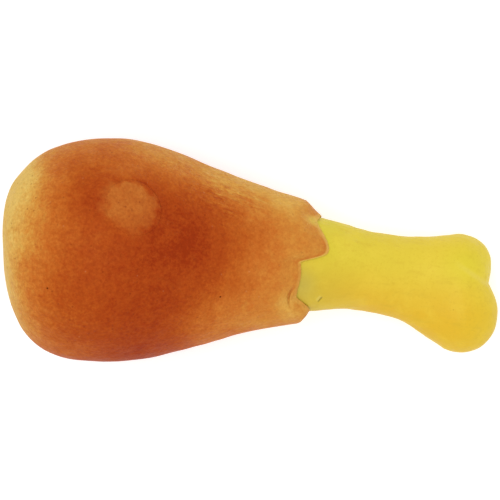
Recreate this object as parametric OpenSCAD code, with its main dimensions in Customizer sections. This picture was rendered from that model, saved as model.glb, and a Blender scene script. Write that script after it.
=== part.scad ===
// Soft squeaky drumstick prop: a hollow latex meat skin whose torn cuff grips a hollow latex
// bone, both stuffed with fibre, and a bellows squeaker that stands under a round filling plug.
// X runs from the blunt end to the knuckles and Z is up. The prop lies on its belly and knuckles.

/* [Overall] */
// Length from the blunt end to the knuckles
prop_length = 190; // [180:1:205]
// Number of flats around the skins
skin_sides = 56; // [40:4:64]
// Number of flats around the stuffing
fill_sides = 28; // [20:4:32]

/* [Skins] */
// Wall of the latex skins
skin_wall = 2; // [1.6:0.1:2.4]
// Gap between soft pieces that would touch
soft_gap = 0.3; // [0.2:0.05:0.4]
// Scale of the length over which the cuff comes down to its edge
cuff_fall_scale = 1; // [0.8:0.05:1.1]
// Thickness of the cuff at its very edge
cuff_lip = 0.8; // [0.6:0.1:1.2]
// Radius of an air vent through the meat skin
vent_r = 0.4; // [0.4:0.1:1]

/* [Filling plug] */
// Radius of the round plug
plug_r = 10.8; // [10.2:0.1:11.2]
// Thickness of the plug at its crown
plug_thick = 5.2; // [4.8:0.1:6]
// Height of the plug's crown above its rim
plug_crown = 0.8; // [0.5:0.1:1.2]

/* [Squeaker] */
// Radius of the squeaker's cap and base
squeaker_r = 9.5; // [8.5:0.1:9.8]
// Thickness of the cap
cap_thick = 2.8; // [2:0.1:3.5]
// Height of the relaxed bellows
bellows_height = 17; // [15:0.5:19]
// Number of folds in the bellows
bellows_folds = 5; // [4:1:6]
// Depth of a fold
fold_depth = 2; // [1.5:0.1:2.5]
// Wall of the bellows
bellows_wall = 0.7; // [0.6:0.05:0.9]
// Thickness of the base
base_thick = 3.2; // [2.5:0.1:4]

/* [Reed] */
// Outer radius of the reed tube
reed_tube_r = 3.6; // [3.3:0.1:4]
// Wall of the reed tube
reed_tube_wall = 0.8; // [0.6:0.1:0.9]
// Length of the reed tube
reed_tube_length = 10; // [9:0.5:11]
// Thickness of the tongue
tongue_thick = 0.25; // [0.2:0.05:0.3]
// Width of the tongue
tongue_width = 3.8; // [3:0.1:4]

/* [Hidden] */
$fn = 64;

drawn_length = 190;
grow = prop_length / drawn_length;

// Blunt end: a superellipse from the belly to the tip, which leans a little towards +Y.
belly_x = -53 * grow;
blunt_length = 42 * grow;
blunt_power = 2.35;
tip_lean = 9 * grow;
tip_lean_power = 10;
blunt_steps = [12, 26, 38, 50, 62, 76];

// Meat from the belly to the cuff: x, half width, half height.
meat_girth = grow * [
    [-53, 42.4, 40.8],
    [-38, 40.4, 39.2],
    [-24, 36.3, 35.2],
    [-10, 31.4, 30.6],
    [4, 26.6, 26.0],
    [14, 24.2, 23.7],
    [22, 22.2, 21.8],
    [32, 20.2, 19.6]
];

// Centre line of the meat: x, y, z.
meat_line = grow * [
    [-95, 0, 47.5],
    [-53, 0.2, 41.8],
    [-38, 0.6, 38.2],
    [-24, 1.2, 35.6],
    [-10, 2.2, 33.8],
    [4, 3.1, 32.6],
    [14, 3.7, 32.0],
    [22, 3.6, 31.2],
    [32, 3.6, 29.0]
];

// Bone from its root to the knuckles: x, half width, half height.
bone_girth = grow * [
    [0, 17.6, 17.2],
    [12, 17.8, 17.2],
    [22, 18.0, 17.0],
    [30, 16.9, 15.9],
    [38, 15.7, 14.7],
    [46, 15.1, 13.9],
    [54, 15.3, 13.6],
    [62, 16.7, 13.9],
    [70, 19.2, 14.9],
    [76, 21.5, 15.6]
];

// Centre line of the bone: x, y, z.
bone_line = grow * [
    [0, 3.6, 32.6],
    [12, 3.6, 32.2],
    [22, 3.6, 31.2],
    [30, 3.7, 29.1],
    [38, 3.5, 26.7],
    [46, 3.0, 24.1],
    [54, 2.4, 21.4],
    [62, 1.4, 18.8],
    [70, 0.2, 16.5],
    [76, -0.5, 15.4]
];

// How far the bone's section has turned from round to two-lobed, by x.
lobe_start = 44 * grow;
bone_root = 12 * grow;

// Knuckles: two ellipsoids and a web between them, seen from one centre inside all three.
knuckle_centre = grow * [76, -0.5, 15.4];
knuckle_a = grow * [78, 8.5, 15.4];
knuckle_a_size = grow * [12.3, 12.9, 15.6];
knuckle_b = grow * [79.9, -8.2, 15.4];
knuckle_b_size = grow * [15.1, 15.2, 15.6];
knuckle_web_size = grow * [12.5, 15, 14];
knuckle_size = grow * [1, 21.5, 15.6];
notch_blend = 0.6;
groove_blend = 7;
web_blend = 5;
knuckle_steps = [80, 70, 60, 50, 40, 30, 20, 10];

// Torn edge of the cuff: angle around the neck from +Y towards +Z, and x where the edge ends.
cuff_edge = [
    [-14, 23.4], [0, 23.2], [18, 22.8], [33, 22.3], [46, 24.2], [58, 26.1], [66, 27.3], [73, 27.7],
    [78, 26.6], [81, 24.6], [84.5, 21.6], [87.5, 18.9], [90.5, 17.7], [99, 18], [107, 18.1],
    [116, 17.8], [126, 17.4], [134, 17.6], [140, 19.2], [146, 21], [153, 22.3], [161, 22.9],
    [170, 22.6], [184, 21.9], [204, 20.5], [222, 17.5], [240, 24], [254, 28.5], [267, 27],
    [284, 19.5], [310, 18.5], [332, 22], [346, 23.4], [360, 23.2], [378, 22.8]
];
// How the cuff comes down to its edge: angle, length, and 0 for a round lip to 1 for a slope.
cuff_fall = [
    [-40, 5, 0.4], [-10, 6, 1], [25, 6.5, 1], [45, 8, 0.9], [90, 8, 0.85], [130, 7, 0.8],
    [150, 4, 0.5], [165, 2.8, 0.5], [200, 4, 0.5], [235, 6, 0.7], [290, 6, 0.7],
    [320, 5, 0.4], [350, 6, 1], [385, 6, 1]
];

// Rings along the meat skin, outside and inside. Near the cuff's edge the outer ones are shares
// of the length over which it falls, and the inner ones are depths from the edge.
meat_rings = [for (x = [-53, -46, -38, -31, -24, -17, -10, -3, 1]) x * grow];
cuff_outer_shares = [1.3, 1, 0.75, 0.5, 0.28, 0.1, 0];
cuff_inner_depths = [0, 2, 4, 6];
throat_shares = [0.75, 0.5, 0.25];
throat_start = 0;
throat_end = 9 * grow;
bone_rings = [for (x = [12, 17, 22, 26, 30, 34, 38, 42, 46, 50, 54, 58, 62, 66, 70, 73, 76]) x * grow];
meat_fill_end = -1 * grow;
neck_fill_end = 24 * grow;

// Filling plug and the squeaker under it, which stands along the plug's inward axis.
plug_spot = grow * [-46.3, 17.4];
cap_top = -plug_thick - soft_gap;
bellows_top = cap_top - cap_thick;
base_top = bellows_top - bellows_height;
base_bottom = base_top - base_thick;
tube_top = base_top + 1.3;
tube_bottom = tube_top - reed_tube_length;
flange_r = reed_tube_r + 1.4;
flange_thick = 1.2;
tube_bore_r = reed_tube_r - reed_tube_wall;
block_top = tube_top + 1;
clamp_length = 3.5;
air_slot_width = 1.6;
air_slot_depth = 1.2;
pocket_r = squeaker_r + 1.7;
pocket_depth = -tube_bottom + 1.5;
vent_spots = grow * [[-75.2, -16.7], [-10.5, -12.8]];

// Smooth curve through a table of stations, read at x from the given column.
function station(t, x) = max(0, min(len(t) - 2, len([for (s = t) if (s[0] <= x) 1]) - 1));
function slope(t, i, c, level) =
    let (a = max(i - 1, 0), b = min(i + 1, len(t) - 1))
    level && i == 0 ? 0 : (t[b][c] - t[a][c]) / (t[b][0] - t[a][0]);
function smooth(t, x, c, level = false) =
    let (
        i = station(t, x),
        w = t[i + 1][0] - t[i][0],
        u = (x - t[i][0]) / w,
        v = 1 - u
    )
    t[i][c] * (1 + 2 * u) * v * v + t[i + 1][c] * (1 + 2 * v) * u * u
        + w * u * v * (slope(t, i, c, level) * v - slope(t, i + 1, c, level) * u);

function unit(v) = v / norm(v);
function soft_max(a, b, k) = let (h = max(k - abs(a - b), 0) / k) max(a, b) + h * h * k / 4;
function on_floor(p, lift = 0) = [p[0], p[1], max(p[2], lift)];

// Points of the meat's surface, drawn in by an inset.
function blunt_share(x) = min(max((belly_x - x) / blunt_length, 0), 1);
function meat_share(x, inset) =
    pow(max(1 - pow(min(blunt_share(x) * blunt_length / (blunt_length - inset), 1), blunt_power), 0),
        1 / blunt_power);
function meat_half(x, c, inset) =
    (smooth(meat_girth, max(x, belly_x), c, true) - inset) * meat_share(x, inset);
function meat_point(x, a, inset = 0) = on_floor([
    x,
    smooth(meat_line, x, 1) + tip_lean * pow(blunt_share(x), tip_lean_power)
        + meat_half(x, 1, inset) * cos(a),
    smooth(meat_line, x, 2) + meat_half(x, 2, inset) * sin(a)
], inset);

// Points of the bone's surface up to the knuckles' centre, and of the knuckles beyond it.
function way_out(d, centre, size) =
    let (
        o = [for (i = [0:2]) (knuckle_centre[i] - centre[i]) / size[i]],
        e = [for (i = [0:2]) d[i] / size[i]]
    )
    (sqrt(pow(o * e, 2) - (e * e) * (o * o - 1)) - o * e) / (e * e);
function knuckle_reach(d) =
    soft_max(
        soft_max(way_out(d, knuckle_a, knuckle_a_size), way_out(d, knuckle_b, knuckle_b_size),
            notch_blend + groove_blend * d[2] * d[2]),
        way_out(d, knuckle_centre, knuckle_web_size),
        web_blend);
function knuckle_point(tilt, a, inset = 0) =
    let (d = [cos(tilt), sin(tilt) * cos(a), sin(tilt) * sin(a)])
    on_floor(knuckle_centre + (knuckle_reach(d) - inset) * d, inset);
function lobed(x) =
    let (u = min(max((x - lobe_start) / (knuckle_centre[0] - lobe_start), 0), 1)) u * u * (3 - 2 * u);
function bone_shape(x, a) =
    let (d = [0, cos(a), sin(a)], reach = knuckle_reach(d))
    [for (i = [1, 2]) (1 - lobed(x)) * d[i] + lobed(x) * reach * d[i] / knuckle_size[i]];
function bone_point(x, a, inset = 0) =
    let (shape = bone_shape(x, a))
    on_floor([
        x,
        smooth(bone_line, x, 1) + (smooth(bone_girth, x, 1) - inset) * shape[0],
        smooth(bone_line, x, 2) + (smooth(bone_girth, x, 2) - inset) * shape[1]
    ], inset);

// The cuff's outside rounds down to its lip, and its inside narrows to the bone.
function edge_x(a) = grow * smooth(cuff_edge, a, 1);
function cuff_outer(share, a) =
    let (
        x = edge_x(a) - share * cuff_fall_scale * smooth(cuff_fall, a, 1),
        k = 1 - min(share, 1),
        slope = min(max(smooth(cuff_fall, a, 2), 0), 1),
        height = pow(1 - pow(k, 2 - 0.7 * slope), 0.5 + 0.5 * slope),
        low = bone_point(x, a, -soft_gap - cuff_lip)
    )
    low + (meat_point(x, a) - low) * height;
function throat_x(share, a) =
    throat_end + share * (edge_x(a) - cuff_inner_depths[len(cuff_inner_depths) - 1] - throat_end);
function throat_point(x, a, inset = 0) =
    let (
        u = min(max((x - throat_start) / (throat_end - throat_start), 0), 1),
        wide = meat_point(x, a, skin_wall + inset),
        narrow = bone_point(max(x, 0), a, inset - soft_gap)
    )
    wide + (narrow - wide) * u * u * (3 - 2 * u);

function angles(n) = [for (i = [0:n - 1]) i * 360 / n];
function blunt_xs(inset) =
    [for (t = blunt_steps) belly_x - (blunt_length - inset) * pow(cos(t), 2 / blunt_power)];
function tip(inset) = meat_point(belly_x - blunt_length + inset, 0, inset);

// Closed solids from rings of points: a cup has an outer and an inner wall, a blob has two ends.
function flat(rings) = [for (r = rings) for (p = r) p];
function band(a, b, n) = [
    for (i = [0:n - 1]) let (j = (i + 1) % n)
    each [[a + i, b + i, b + j], [a + i, b + j, a + j]]
];
function bands(start, count, n) = [
    for (k = [0:1:count - 2]) each band(start + k * n, start + (k + 1) * n, n)
];
function fan(start, pole, n) = [for (i = [0:n - 1]) [start + i, pole, start + (i + 1) % n]];
function turned(faces) = [for (f = faces) [f[2], f[1], f[0]]];

module cup(outer, outer_pole, inner, inner_pole) {
    n = len(outer[0]);
    in_start = len(outer) * n;
    poles = in_start + len(inner) * n;
    polyhedron(
        points = concat(flat(outer), flat(inner), [outer_pole, inner_pole]),
        faces = concat(
            bands(0, len(outer), n),
            fan(in_start - n, poles, n),
            turned(bands(in_start, len(inner), n)),
            turned(fan(poles - n, poles + 1, n)),
            turned(band(0, in_start, n))
        ),
        convexity = 6);
}

module blob(rings, first_pole, last_pole) {
    n = len(rings[0]);
    count = len(rings) * n;
    polyhedron(
        points = concat(flat(rings), [first_pole, last_pole]),
        faces = concat(
            turned(fan(0, count, n)),
            bands(0, len(rings), n),
            fan(count - n, count + 1, n)
        ),
        convexity = 4);
}

// Frame of the plug: its crown touches the skin and its axis is the skin's normal there.
function top_angle(x, y) =
    acos((y - smooth(meat_line, x, 1)) / meat_half(x, 1, 0));
function skin_normal(x, a) =
    let (
        along = meat_point(x + 1, a) - meat_point(x - 1, a),
        round = meat_point(x, a + 1) - meat_point(x, a - 1)
    )
    unit(cross(round, along));

module at_skin(spot) {
    a = top_angle(spot[0], spot[1]);
    n = skin_normal(spot[0], a);
    translate(meat_point(spot[0], a)) rotate([0, acos(n[2]), atan2(n[1], n[0])]) children();
}

module disc(r, top, bottom) {
    translate([0, 0, bottom]) cylinder(r = r, h = top - bottom);
}

module meat_skin() {
    round = [for (a = angles(skin_sides)) 360 - a];
    outer = concat(
        [for (i = [len(cuff_outer_shares) - 1:-1:0]) [for (a = round) cuff_outer(cuff_outer_shares[i], a)]],
        [for (i = [len(meat_rings) - 1:-1:0]) [for (a = round) meat_point(meat_rings[i], a)]],
        [for (i = [len(blunt_steps) - 1:-1:0]) [for (a = round) meat_point(blunt_xs(0)[i], a)]]
    );
    inner_xs = concat([throat_end, 6 * grow, 3 * grow, throat_start],
        [for (i = [len(meat_rings) - 2:-1:0]) meat_rings[i]]);
    inner = concat(
        [for (d = cuff_inner_depths) [for (a = round) bone_point(edge_x(a) - d, a, -soft_gap)]],
        [for (s = throat_shares) [for (a = round) bone_point(throat_x(s, a), a, -soft_gap)]],
        [for (x = inner_xs) [for (a = round) throat_point(x, a)]],
        [for (i = [len(blunt_steps) - 1:-1:0])
            [for (a = round) meat_point(blunt_xs(skin_wall)[i], a, skin_wall)]]
    );
    color("chocolate") difference() {
        cup(outer, tip(0), inner, tip(skin_wall));
        at_skin(plug_spot) disc(plug_r + soft_gap, 4, -6);
        for (spot = vent_spots) at_skin(spot) disc(vent_r, 2, -skin_wall - 2);
    }
}

module bone_skin() {
    round = angles(skin_sides);
    outer = concat(
        [for (x = bone_rings) [for (a = round) bone_point(x, a)]],
        [for (t = knuckle_steps) [for (a = round) knuckle_point(t, a)]]
    );
    inner = concat(
        [for (x = bone_rings) [for (a = round) bone_point(x, a, skin_wall)]],
        [for (t = knuckle_steps) [for (a = round) knuckle_point(t, a, skin_wall)]]
    );
    color("gold") cup(outer, knuckle_point(0, 0), inner, knuckle_point(0, 0, skin_wall));
}

module fill_plug() {
    dome_r = (plug_r * plug_r + plug_crown * plug_crown) / (2 * plug_crown);
    color("peru") at_skin(plug_spot) intersection() {
        disc(plug_r, 1, -plug_thick);
        translate([0, 0, -dome_r]) sphere(r = dome_r);
    }
}

module meat_stuffing() {
    inset = skin_wall + soft_gap;
    round = angles(fill_sides);
    rings = concat(
        [for (x = blunt_xs(inset)) [for (a = round) meat_point(x, a, inset)]],
        [for (x = meat_rings) if (x < meat_fill_end) [for (a = round) meat_point(x, a, inset)]],
        [[for (a = round) meat_point(meat_fill_end, a, inset)]]
    );
    middle = [meat_fill_end, smooth(meat_line, meat_fill_end, 1), smooth(meat_line, meat_fill_end, 2)];
    color("whitesmoke") difference() {
        blob(rings, tip(inset), middle);
        at_skin(plug_spot) disc(pocket_r, 6, -pocket_depth);
    }
}

module neck_stuffing() {
    round = angles(fill_sides);
    start = meat_fill_end + soft_gap;
    wide = [for (x = [start, 3 * grow, 6 * grow, throat_end, bone_root - 0.6])
        [for (a = round) throat_point(x, a, soft_gap)]];
    slim = [for (x = [bone_root - 0.5, 18 * grow, neck_fill_end])
        [for (a = round) bone_point(x, a, skin_wall + soft_gap)]];
    color("gainsboro") blob(concat(wide, slim),
        [start, smooth(meat_line, start, 1), smooth(meat_line, start, 2)],
        [neck_fill_end, smooth(bone_line, neck_fill_end, 1), smooth(bone_line, neck_fill_end, 2)]);
}

module bone_stuffing() {
    inset = skin_wall + 2 * soft_gap;
    round = angles(fill_sides);
    start = neck_fill_end + 2 * soft_gap;
    rings = concat(
        [[for (a = round) bone_point(start, a, inset)]],
        [for (x = bone_rings) if (x > start + 1) [for (a = round) bone_point(x, a, inset)]],
        [for (t = knuckle_steps) [for (a = round) knuckle_point(t, a, inset)]]
    );
    color("snow") blob(rings,
        [start, smooth(bone_line, start, 1), smooth(bone_line, start, 2)],
        knuckle_point(0, 0, inset));
}

module squeaker_cap() {
    rim = 1.2;
    color("white") at_skin(plug_spot) difference() {
        disc(squeaker_r, cap_top, bellows_top);
        disc(squeaker_r - fold_depth - 2 * rim, cap_top - rim, bellows_top - 1);
    }
}

module squeaker_bellows() {
    outer_r = squeaker_r - 0.2;
    step = bellows_height / (2 * bellows_folds);
    wave = [for (i = [0:2 * bellows_folds])
        [outer_r - (i % 2 == 0 ? fold_depth : 0), base_top + i * step]];
    color("ivory") at_skin(plug_spot) rotate_extrude() polygon(concat(
        wave,
        [for (i = [2 * bellows_folds:-1:0]) wave[i] - [bellows_wall, 0]]
    ));
}

module squeaker_base() {
    color("white") at_skin(plug_spot) difference() {
        disc(squeaker_r, base_top, base_bottom);
        disc(reed_tube_r, base_top + 1, base_bottom - 1);
    }
}

module reed_tube() {
    color("lightgray") at_skin(plug_spot) difference() {
        union() {
            disc(reed_tube_r, tube_top, tube_bottom);
            disc(flange_r, base_bottom, base_bottom - flange_thick);
        }
        disc(tube_bore_r, tube_top + 1, tube_bottom - 1);
    }
}

// Half of the tube's bore, on one side of the tongue.
module half_bore(side, top, bottom) {
    near = tongue_thick / 2;
    intersection() {
        disc(tube_bore_r, top, bottom);
        translate([side > 0 ? near : -near - tube_bore_r, -tube_bore_r, bottom - 1])
            cube([tube_bore_r, 2 * tube_bore_r, top - bottom + 2]);
    }
}

module reed_block() {
    color("white") at_skin(plug_spot) difference() {
        half_bore(-1, block_top, tube_bottom);
        translate([-tongue_thick / 2 - air_slot_depth, -air_slot_width / 2, tube_bottom + clamp_length])
            cube([2 * air_slot_depth, air_slot_width, reed_tube_length]);
    }
}

module reed_tongue() {
    length = block_top - tube_bottom - 1;
    color("orange") at_skin(plug_spot)
        translate([-tongue_thick / 2, -tongue_width / 2, tube_bottom + 0.5])
            cube([tongue_thick, tongue_width, length]);
}

module reed_wedge() {
    color("silver") at_skin(plug_spot) half_bore(1, tube_bottom + clamp_length, tube_bottom);
}

meat_skin();
bone_skin();
fill_plug();
meat_stuffing();
neck_stuffing();
bone_stuffing();
squeaker_cap();
squeaker_bellows();
squeaker_base();
reed_tube();
reed_block();
reed_tongue();
reed_wedge();
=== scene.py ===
import math

import bmesh
import bpy
import numpy as np
from mathutils import Matrix, Vector
from mathutils.kdtree import KDTree


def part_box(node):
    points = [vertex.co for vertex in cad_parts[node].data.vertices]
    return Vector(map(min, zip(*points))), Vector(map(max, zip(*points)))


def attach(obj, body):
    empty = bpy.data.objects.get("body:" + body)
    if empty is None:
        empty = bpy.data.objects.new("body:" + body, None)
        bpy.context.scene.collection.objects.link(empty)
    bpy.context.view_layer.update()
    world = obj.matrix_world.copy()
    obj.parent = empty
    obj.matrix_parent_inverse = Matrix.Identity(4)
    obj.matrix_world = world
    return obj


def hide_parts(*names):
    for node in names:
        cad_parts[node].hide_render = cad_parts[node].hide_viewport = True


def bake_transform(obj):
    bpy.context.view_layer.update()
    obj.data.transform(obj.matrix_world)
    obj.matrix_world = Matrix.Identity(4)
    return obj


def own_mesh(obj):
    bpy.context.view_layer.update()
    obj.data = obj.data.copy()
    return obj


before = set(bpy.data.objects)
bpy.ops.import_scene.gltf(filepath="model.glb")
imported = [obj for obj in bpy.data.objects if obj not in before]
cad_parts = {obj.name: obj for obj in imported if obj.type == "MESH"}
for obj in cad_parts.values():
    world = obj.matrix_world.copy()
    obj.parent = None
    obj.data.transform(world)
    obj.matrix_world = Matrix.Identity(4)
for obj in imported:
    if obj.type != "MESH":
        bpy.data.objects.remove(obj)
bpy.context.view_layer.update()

# Lengths are in drawn millimetres, as in the part's source, and angles in degrees. The prop lies
# along x, from the meat's blunt end to the bone's knuckles, with z up. The numbers from here down
# to VENT_SPOTS are the source's or follow from them, so each skin covers its CAD solid.
SKIN_WALL = 2.0
SOFT_GAP = 0.3
FILL_GAP = SOFT_GAP + 0.1
CUFF_LIP = 0.8
VENT_R = 0.4

BELLY_X = -53.0
BLUNT_LENGTH = 42.0
BLUNT_POWER = 2.35
TIP_LEAN = 9.0
TIP_LEAN_POWER = 10

# Meat from the belly to the cuff: x, half width, half height; and its centre line: x, y, z.
MEAT_GIRTH = [
    (-53, 42.4, 40.8), (-38, 40.4, 39.2), (-24, 36.3, 35.2), (-10, 31.4, 30.6),
    (4, 26.6, 26.0), (14, 24.2, 23.7), (22, 22.2, 21.8), (32, 20.2, 19.6),
]
MEAT_LINE = [
    (-95, 0, 47.5), (-53, 0.2, 41.8), (-38, 0.6, 38.2), (-24, 1.2, 35.6), (-10, 2.2, 33.8),
    (4, 3.1, 32.6), (14, 3.7, 32.0), (22, 3.6, 31.2), (32, 3.6, 29.0),
]
BONE_GIRTH = [
    (0, 17.6, 17.2), (12, 17.8, 17.2), (22, 18.0, 17.0), (30, 16.9, 15.9), (38, 15.7, 14.7),
    (46, 15.1, 13.9), (54, 15.3, 13.6), (62, 16.7, 13.9), (70, 19.2, 14.9), (76, 21.5, 15.6),
]
BONE_LINE = [
    (0, 3.6, 32.6), (12, 3.6, 32.2), (22, 3.6, 31.2), (30, 3.7, 29.1), (38, 3.5, 26.7),
    (46, 3.0, 24.1), (54, 2.4, 21.4), (62, 1.4, 18.8), (70, 0.2, 16.5), (76, -0.5, 15.4),
]
LOBE_START = 44.0
BONE_ROOT = 12.0

# Knuckles: two ellipsoids and a web between them, seen from one centre inside all three.
KNUCKLE_CENTRE = np.array([76, -0.5, 15.4])
KNUCKLE_A = (np.array([78, 8.5, 15.4]), np.array([12.3, 12.9, 15.6]))
KNUCKLE_B = (np.array([79.9, -8.2, 15.4]), np.array([15.1, 15.2, 15.6]))
KNUCKLE_WEB = (KNUCKLE_CENTRE, np.array([12.5, 15, 14]))
KNUCKLE_SIZE = (1, 21.5, 15.6)
NOTCH_BLEND = 0.6
GROOVE_BLEND = 7.0
WEB_BLEND = 5.0

# Torn edge of the cuff: angle around the neck from +Y towards +Z, and x where the edge ends.
CUFF_EDGE = [
    (-14, 23.4), (0, 23.2), (18, 22.8), (33, 22.3), (46, 24.2), (58, 26.1), (66, 27.3), (73, 27.7),
    (78, 26.6), (81, 24.6), (84.5, 21.6), (87.5, 18.9), (90.5, 17.7), (99, 18.0), (107, 18.1),
    (116, 17.8), (126, 17.4), (134, 17.6), (140, 19.2), (146, 21.0), (153, 22.3), (161, 22.9),
    (170, 22.6), (184, 21.9), (204, 20.5), (222, 17.5), (240, 24), (254, 28.5), (267, 27),
    (284, 19.5), (310, 18.5), (332, 22), (346, 23.4), (360, 23.2), (378, 22.8),
]
# How the cuff comes down to its edge: angle, length, and 0 for a round lip to 1 for a slope.
CUFF_FALL = [
    (-40, 5, 0.4), (-10, 6, 1), (25, 6.5, 1), (45, 8, 0.9), (90, 8, 0.85), (130, 7, 0.8),
    (150, 4, 0.5), (165, 2.8, 0.5), (200, 4, 0.5), (235, 6, 0.7), (290, 6, 0.7),
    (320, 5, 0.4), (350, 6, 1), (385, 6, 1),
]
THROAT_START = 0.0
THROAT_END = 9.0
MEAT_FILL_END = -1.0
NECK_FILL_END = 24.0

# Filling plug, squeaker and reed, as heights along the plug's outward axis. The tongue's top is
# 1 mm below the source's.
PLUG_SPOT = (-46.3, 17.4)
PLUG_HOLE_R = 11.1
PLUG_BOTTOM = -5.2
BELLOWS_TOP = -8.3
BASE_TOP = -25.3
BELLOWS_FOLDS = 5
TONGUE_LOW, TONGUE_HIGH = -33.5, -24.5
POCKET_R = 11.2
POCKET_DEPTH = 35.5
VENT_SPOTS = [(-75.2, -16.7), (-10.5, -12.8)]

# Detail that only the visual model has. The skins meet the floor in a small rounding. The plug
# all but fills its hole, and lies on one shallow dome with the skin round it.
FLOOR_BLEND = 0.6
PLUG_R = 11.07
PLUG_RISE = 1.1
DOME_FADE = (11.6, 19.0)
RELIEF_FADE = (11.8, 17)
UNDERSIDE = -14
MEAT_SWELLS = [
    ((-92, -16, 42), 16, 0.6), ((-74, -38, 42), 26, 1.6), ((-84, 34, 42), 20, 0.7),
    ((-68, 44, 42), 22, -0.7),
]
BONE_SWELLS = [((90, -22, 15), 16, 1.1), ((90, 18, 15), 12, 0.8)]
LENGTHWISE = (0.16, 1, 1)
# The cuff's curved fold is an arc seen from above: its centre, its radius and its middle.
FOLD_CENTRE = (20.9, -10.1, 0)
FOLD_R = 6.0
FOLD_SPOT = (15.2, -9.3)
NICK = (26.7, -9.4, 44.0)
# Depth behind the cuff's edge where its own rows start, and the depth of all that is far from it.
# Points past CUFF_FROM_X take their depth from a row's point within ROW_REACH.
CUFF_ROWS = 11
FAR_DEPTH = 20.0
ROW_REACH = 0.9
CUFF_FROM_X = 5

# Metres in a drawn millimetre.
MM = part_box("meat_skin")[0].x / (BELLY_X - BLUNT_LENGTH)


# ---- shape functions

def smooth(table, x, column, level=False):
    """A smooth curve through one column of a table that starts with x; level starts it flat."""
    t = np.array(table, float)
    x = np.asarray(x, float)
    slopes = np.empty(len(t))
    slopes[1:-1] = (t[2:, column] - t[:-2, column]) / (t[2:, 0] - t[:-2, 0])
    slopes[0] = 0 if level else (t[1, column] - t[0, column]) / (t[1, 0] - t[0, 0])
    slopes[-1] = (t[-1, column] - t[-2, column]) / (t[-1, 0] - t[-2, 0])
    i = np.clip(np.searchsorted(t[:, 0], x, side="right") - 1, 0, len(t) - 2)
    w = t[i + 1, 0] - t[i, 0]
    u = (x - t[i, 0]) / w
    v = 1 - u
    return (t[i, column] * (1 + 2 * u) * v * v + t[i + 1, column] * (1 + 2 * v) * u * u
            + w * u * v * (slopes[i] * v - slopes[i + 1] * u))


def on_line(table, x):
    """The point of a centre line at x."""
    return np.array([x, float(smooth(table, x, 1)), float(smooth(table, x, 2))])


def step(lo, hi, value):
    u = np.clip((value - lo) / (hi - lo), 0, 1)
    return u * u * (3 - 2 * u)


def soft_max(a, b, k):
    h = np.maximum(k - np.abs(a - b), 0) / k
    return np.maximum(a, b) + h * h * k / 4


def points(x, y, z, lift):
    """Points kept at least lift above the floor."""
    x, y, z = np.broadcast_arrays(x, y, soft_max(z, lift, FLOOR_BLEND))
    return np.stack([x, y, z], -1)


def cosd(a):
    return np.cos(np.radians(a))


def sind(a):
    return np.sin(np.radians(a))


def blunt_share(x):
    return np.clip((BELLY_X - x) / BLUNT_LENGTH, 0, 1)


def meat_half(x, column, inset):
    reach = np.minimum(blunt_share(x) * BLUNT_LENGTH / (BLUNT_LENGTH - inset), 1)
    share = np.maximum(1 - reach ** BLUNT_POWER, 0) ** (1 / BLUNT_POWER)
    return (smooth(MEAT_GIRTH, np.maximum(x, BELLY_X), column, True) - inset) * share


def meat_point(x, a, inset=0.0):
    y = smooth(MEAT_LINE, x, 1) + TIP_LEAN * blunt_share(x) ** TIP_LEAN_POWER
    return points(x, y + meat_half(x, 1, inset) * cosd(a),
                  smooth(MEAT_LINE, x, 2) + meat_half(x, 2, inset) * sind(a), inset)


def way_out(d, part):
    """How far it is from the knuckles' centre to an ellipsoid's surface, in direction d."""
    centre, size = part
    o = (KNUCKLE_CENTRE - centre) / size
    e = d / size
    oe, ee = e @ o, (e * e).sum(-1)
    return (np.sqrt(np.maximum(oe ** 2 - ee * (o @ o - 1), 0)) - oe) / ee


def knuckle_reach(d):
    blend = NOTCH_BLEND + GROOVE_BLEND * d[..., 2] ** 2
    lobes = soft_max(way_out(d, KNUCKLE_A), way_out(d, KNUCKLE_B), blend)
    return soft_max(lobes, way_out(d, KNUCKLE_WEB), WEB_BLEND)


def knuckle_point(tilt, a, inset=0.0):
    d = np.stack(np.broadcast_arrays(cosd(tilt), sind(tilt) * cosd(a), sind(tilt) * sind(a)), -1)
    p = KNUCKLE_CENTRE + (knuckle_reach(d) - inset)[..., None] * d
    return points(*np.moveaxis(p, -1, 0), inset)


def bone_point(x, a, inset=0.0):
    x, a = np.broadcast_arrays(np.asarray(x, float), np.asarray(a, float))
    d = np.stack([np.zeros_like(a), cosd(a), sind(a)], -1)
    reach = knuckle_reach(d)
    lobed = step(LOBE_START, KNUCKLE_CENTRE[0], x)
    shape = [(1 - lobed) * d[..., i] + lobed * reach * d[..., i] / KNUCKLE_SIZE[i] for i in (1, 2)]
    return points(x, smooth(BONE_LINE, x, 1) + (smooth(BONE_GIRTH, x, 1) - inset) * shape[0],
                  smooth(BONE_LINE, x, 2) + (smooth(BONE_GIRTH, x, 2) - inset) * shape[1], inset)


def ragged(a):
    """Small tears along the cuff's edge."""
    rng = np.random.default_rng(11)
    out = np.zeros_like(np.asarray(a, float))
    for cycles in (7, 11, 16, 23, 31, 44):
        height = 0.6 / (3 + cycles ** 0.75)
        out = out + height * np.sin(np.radians(a * cycles) + rng.uniform(0, 6.28))
    return out


def edge_x(a):
    return smooth(CUFF_EDGE, a, 1) + ragged(a)


def cuff_outer(depth, a):
    """The cuff's outside, depth behind its torn edge."""
    x = edge_x(a) - depth
    k = 1 - np.minimum(depth / smooth(CUFF_FALL, a, 1), 1)
    slope = np.clip(smooth(CUFF_FALL, a, 2), 0, 1)
    share = (1 - k ** (2 - 0.7 * slope)) ** (0.5 + 0.5 * slope)
    low = bone_point(x, a, -SOFT_GAP - CUFF_LIP)
    return low + (meat_point(x, a) - low) * share[..., None]


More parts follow.
